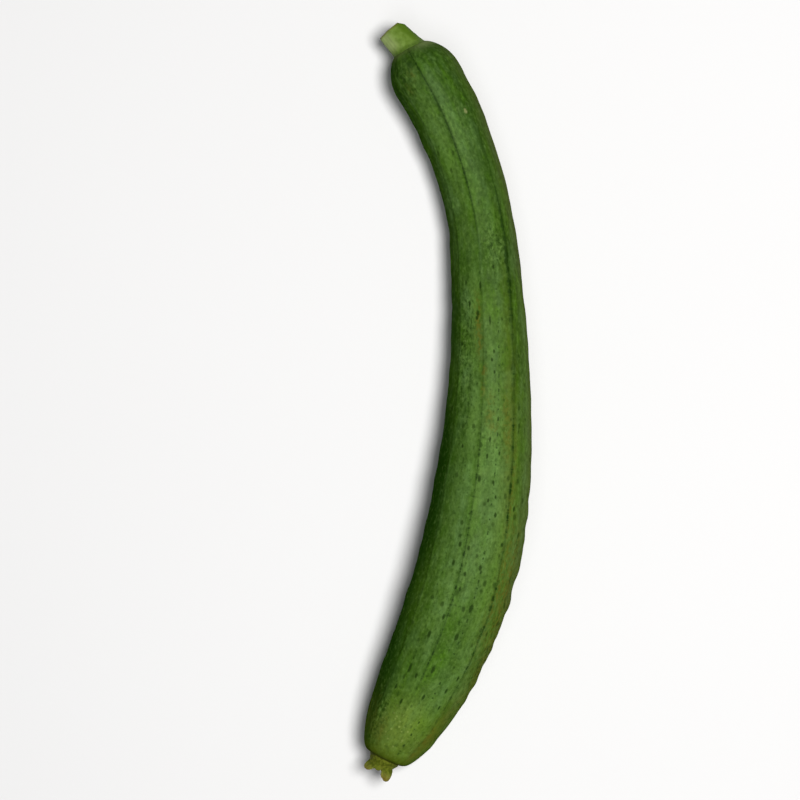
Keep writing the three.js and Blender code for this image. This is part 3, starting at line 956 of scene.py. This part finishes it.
# Darker green of the painted shade on one facet.
STALK_FACET_SHADE = linear(62, 88, 8)
STALK_ROOT_GREEN_AND_SHADE = linear(58, 80, 26)
STALK_RIM = linear(86, 82, 34)
PITH_SHADE = linear(118, 124, 72)
PITH_LIGHT = linear(140, 144, 98)
PITH_STRAND = linear(76, 76, 30)
PITH_RIM = linear(90, 84, 36)
# Painted shade on one of its facets, and a painted sheen on its pale side: angles round it with a soft edge,
# and the share of its length over which they come in.
SHADED_FACET = {"side": (118, 215, 9), "comes_in": 0.3}
SHEEN_SIDE = {"side": (-40, 64, 20), "comes_in": 0.45}


def stalk_way(outside, share):
    """Way to the side of the stalk that its turned cut faces, at a share of its length."""
    tilt = math.radians(STEM_CUT_TURN * share)
    x, y = outside[:2]
    cosine, sine = math.cos(tilt), math.sin(tilt)
    return -np.array((x * cosine - y * sine, x * sine + y * cosine, 0.0))


def stalk_outline(turn, share, narrow, long):
    """Distances from the stalk's middle at a share of its length: ribs, and one pared corner."""
    radius = STEM_CUT_RADIUS + (STEM_BASE_RADIUS - STEM_CUT_RADIUS) * (1 - share) ** STEM_FLARE
    radius += STEM_ROOT["height"] * math.exp(-max(share, 0) * long / STEM_ROOT["length"])
    ribs = STEM_RIB_HEIGHT * max(share, 0) * np.cos(STEM_RIBS * turn)
    fine = np.zeros_like(turn)
    for high, count, phase, twist in STEM_FINE_RIBS:
        fine += high * np.cos(count * turn + phase + twist * share)
    out = radius * narrow * (1 + ribs + fine * narrow)
    pared = STEM_CUT_RADIUS - STEM_PARED["across"] * (1 - (1 - share) * long / STEM_PARED["along"])
    return np.minimum(out, pared / np.maximum(-np.cos(turn), PARED_LEAST))


def stalk_rings(turn, rings=64):
    """Rings of the stalk from just inside the fruit to the cut, then over the cut's dished face."""
    centre, along, outside, _ = sections(0.0)
    start = centre[0] - SEAM * along[0]
    cut = np.array((*STEM_CUT, centre[0][2]))
    long = np.linalg.norm(cut - start)
    stations = [(share, 1.0, 0.0) for share in np.linspace(-STEM_SUNK, 1, rings)]
    stations += [(1.0, narrow, proud) for narrow, proud in CUT_FACE]
    points = []
    for share, narrow, proud in stations:
        out = stalk_outline(turn, share, narrow, long)
        middle = start + (cut - start) * (share + proud / long)
        aside = stalk_way(outside[0], share) * (out * np.cos(turn))[:, None]
        points.append(middle + aside + UP * (out * np.sin(turn))[:, None])
    points = np.array(points)
    middles = points.mean(axis=1, keepdims=True)
    points += (points - middles) / STEM_CUT_RADIUS * lumps(points, STEM_LUMPS)[..., None]
    shares, spans, _ = np.array(stations).T
    return points, shares, spans


def stalk_side(turn, grown, side, comes_in):
    return window(np.degrees(turn), *side) * smoothstep(grown, 0.0, comes_in)


def add_stalk(sides=120):
    turn = turns(sides)
    points, shares, spans = stalk_rings(turn)
    faces = loft_faces(len(points), sides)
    piece = new_piece("cut_stalk", loft_points(points), faces, "stem")
    grown = np.maximum(shares, 0.0)[:, None] + np.zeros(sides)
    add_ring_attributes(piece.data, {
        "grown": grown,
        "span": spans[:, None] + np.zeros(sides),
        # Painted shade on one facet.
        "shaded_facet": stalk_side(turn, grown, **SHADED_FACET),
        # Painted sheen on one side.
        "pale": stalk_side(turn, grown, **SHEEN_SIDE),
        "furrow": 0.5 - 0.5 * np.cos(STEM_RIBS * turn) + np.zeros_like(grown),
    })
    piece.data.materials.append(stalk_material())


def pith_color(graph, place, crumb, span):
    """The cut: pale pith with a ring of darker strands, drying brown towards its rim."""
    strands = graph.cells(place, 1.5).outputs["Distance"]
    ring = graph.times(graph.step(span, 0.42, 0.55), graph.step(span, 0.72, 0.85, 1, 0))
    return graph.paint(
        PITH_SHADE,
        (graph.step(crumb, 0.3, 0.7), PITH_LIGHT),
        (graph.times(graph.step(strands, 0.2, 0.42, 1, 0), ring), PITH_STRAND),
        (graph.step(span, 0.84, 0.97), PITH_RIM),
    )


def stalk_material():
    graph = Graph(bpy.data.materials.new("cut_stalk"))
    place = graph.place()
    streaks = graph.noise(graph.stretch(place, 0.5, 0.5, 1.6), 0.9, 3, 0.6)
    cloud = graph.noise(place, 3.4, 3)
    crumb = graph.noise(place, 0.35, 3, 0.6)
    grown, span = graph.value("grown"), graph.value("span")
    root = graph.math("ADD", grown, graph.times(streaks, 0.3))
    rim = graph.times(graph.step(grown, 0.9, 0.99), graph.step(crumb, 0.35, 0.6, 0.35, 0.85))
    color = graph.paint(
        STALK_SHADE,
        (graph.step(cloud, 0.35, 0.65), STALK_LIGHT),
        (graph.step(streaks, 0.45, 0.7, 0, 0.4), STALK_STREAK),
        # Painted sheen on the pale side.
        (graph.times(graph.value("furrow"), 0.3), STALK_FURROW),
        # Painted shade on one facet.
        (graph.times(graph.value("pale"), 0.7), STALK_SHEEN),
        (graph.times(graph.value("shaded_facet"), 0.85), STALK_FACET_SHADE),
        # Darker green at its root: partly its own green, partly painted shade where it meets the fruit.
        (graph.step(root, 0.08, 0.34, 0.75, 0), STALK_ROOT_GREEN_AND_SHADE),
        (rim, STALK_RIM),
        (graph.step(span, 0.955, 0.99, 1, 0), pith_color(graph, place, crumb, span)),
    )
    relief = graph.bump(crumb, 0.06, graph.bump(streaks, 0.12))
    return graph.finish(color, graph.step(cloud, 0.3, 0.7, 0.55, 0.7), relief, Specular_IOR_Level=0.08)


# ---- dried calyx

CALYX_SHADE = linear(62, 72, 10)
CALYX_LIGHT = linear(90, 98, 26)
CALYX_LOBE = linear(112, 114, 46)
CALYX_DRY = linear(94, 72, 24)
CALYX_DENT_SHADE = linear(44, 44, 10)
CALYX_JOINT_SHADE = linear(34, 34, 8)
CALYX_HOLLOW_SHADE = linear(40, 30, 12)


def calyx_frame():
    centre, along, outside, _ = sections(LENGTH)
    return centre[0], along[0], outside[0]


def collar_rings(end, sides=64):
    centre, along, outside = end
    turn = turns(sides)
    rings = []
    for radius, out in COLLAR:
        ring = centre + along * out + outside * (radius * np.cos(turn))[:, None]
        rings.append(ring + UP * (radius * np.sin(turn))[:, None])
    return rings


def lobe_rings(end, lobe, rings=14, sides=28):
    """A thick, cupped blade that leans outward, widest about half way, with a round tip."""
    centre, along, outside = end
    angle, reach, far, width = lobe
    outward = outside * math.cos(math.radians(angle)) + UP * math.sin(math.radians(angle))
    across = np.cross(along, outward)
    turn = turns(sides)
    (root, gain), (closed, blunt) = LOBE_SWELL, LOBE_TIP
    made = []
    for share in np.sin(np.linspace(0, 1, rings) * math.pi / 2):
        out = LOBE_ROOT["out"] + (reach - LOBE_ROOT["out"]) * share
        radius = LOBE_ROOT["radius"] + (far - LOBE_ROOT["radius"]) * share**LOBE_LEAN
        taper = (root + gain * share) * math.sqrt(1 - (closed * share) ** blunt)
        middle = centre + along * out + outward * radius
        thick = LOBE_THICKNESS / 2 * taper * np.cos(turn) + LOBE_CUP * share * np.sin(turn) ** 2
        wide = width / 2 * taper * np.sin(turn)
        made.append(middle + outward * thick[:, None] + across * wide[:, None])
    return made


def heaped(parts):
    """Points and faces of several lofted shapes in one list."""
    points, faces = [], []
    for rings in parts:
        shift = sum(len(block) for block in points)
        points.append(loft_points(rings))
        faces += [tuple(shift + i for i in face) for face in loft_faces(len(rings), len(rings[0]))]
    return np.vstack(points).tolist(), faces


def fused(parts):
    """One closed skin over shapes that run into each other; gives its points, normals and faces."""
    points, faces = heaped(parts)
    mesh = bpy.data.meshes.new("rough")
    mesh.from_pydata(points, [], faces)
    rough = add_object("rough", mesh)
    remesh = rough.modifiers.new("remesh", "REMESH")
    remesh.mode, remesh.voxel_size = "VOXEL", CALYX_VOXEL
    smooth = rough.modifiers.new("smooth", "SMOOTH")
    smooth.factor, smooth.iterations = CALYX_SMOOTHING
    made = bpy.data.meshes.new_from_object(rough.evaluated_get(bpy.context.evaluated_depsgraph_get()))
    bpy.data.objects.remove(rough)
    places, normals = np.empty(3 * len(made.vertices)), np.empty(3 * len(made.vertices))
    made.vertices.foreach_get("co", places)
    made.vertices.foreach_get("normal", normals)
    return places.reshape(-1, 3), normals.reshape(-1, 3), [tuple(p.vertices) for p in made.polygons]


def add_calyx():
    centre, along, outside = end = calyx_frame()
    points, normals, faces = fused([collar_rings(end)] + [lobe_rings(end, lobe) for lobe in LOBES])
    out = (points - centre) @ along
    aside, high = (points - centre) @ outside, (points - centre) @ UP
    radius = np.hypot(aside, high)
    drawn = np.column_stack([aside, high, CALYX_RIDGES_DRAWN * out])
    crumple = lumps(drawn, CALYX_RIDGES) + lumps(points, CALYX_LUMPS)
    points = points + normals * (crumple * smoothstep(out, *CRUMPLED_FROM))[:, None]
    piece = new_piece("dried_calyx", points, faces, "calyx")
    add_attribute(piece.data, "out", out)
    # Painted shade in the sunken middle of the calyx.
    hollow_shade = (1 - smoothstep(radius, *HOLLOW_SHADE["radius"])) * smoothstep(out, *HOLLOW_SHADE["out"])
    add_attribute(piece.data, "hollow_shade", hollow_shade)
    # Painted shade in the dents of the crumpled calyx.
    add_attribute(piece.data, "dent_shade", np.clip(-crumple * DENT_SHADE_GAIN, 0, 1))
    piece.data.materials.append(calyx_material())


def calyx_material():
    graph = Graph(bpy.data.materials.new("dried_calyx"))
    place = graph.place()
    blotch = graph.noise(place, 1.8, 3, 0.6)
    crumb = graph.noise(place, 0.4, 3, 0.6)
    out = graph.value("out")
    ragged = graph.math("ADD", out, graph.times(blotch, 5.0))
    color = graph.paint(
        CALYX_SHADE,
        (graph.step(blotch, 0.35, 0.65), CALYX_LIGHT),
        (graph.step(out, 5.2, 8.2, 0, 0.8), CALYX_LOBE),
        (graph.step(ragged, 9.0, 13.0, 0, 0.7), CALYX_DRY),
        # Painted shade in the dents.
        (graph.times(graph.value("dent_shade"), 0.5), CALYX_DENT_SHADE),
        # Painted shade where the calyx meets the fruit.
        (graph.step(out, -0.2, 0.9, 0.6, 0), CALYX_JOINT_SHADE),
        # Painted shade in the hollow middle.
        (graph.times(graph.value("hollow_shade"), 0.8), CALYX_HOLLOW_SHADE),
    )
    relief = graph.bump(crumb, 0.12, graph.bump(blotch, 0.25))
    return graph.finish(color, graph.step(blotch, 0.3, 0.7, 0.62, 0.8), relief, Specular_IOR_Level=0.04)


# ---- the gourd

skin = Skin()
fruit = skin.piece()
mark_skin(skin, fruit.data)
fruit.data.materials.append(skin_material())
add_stalk()
add_calyx()
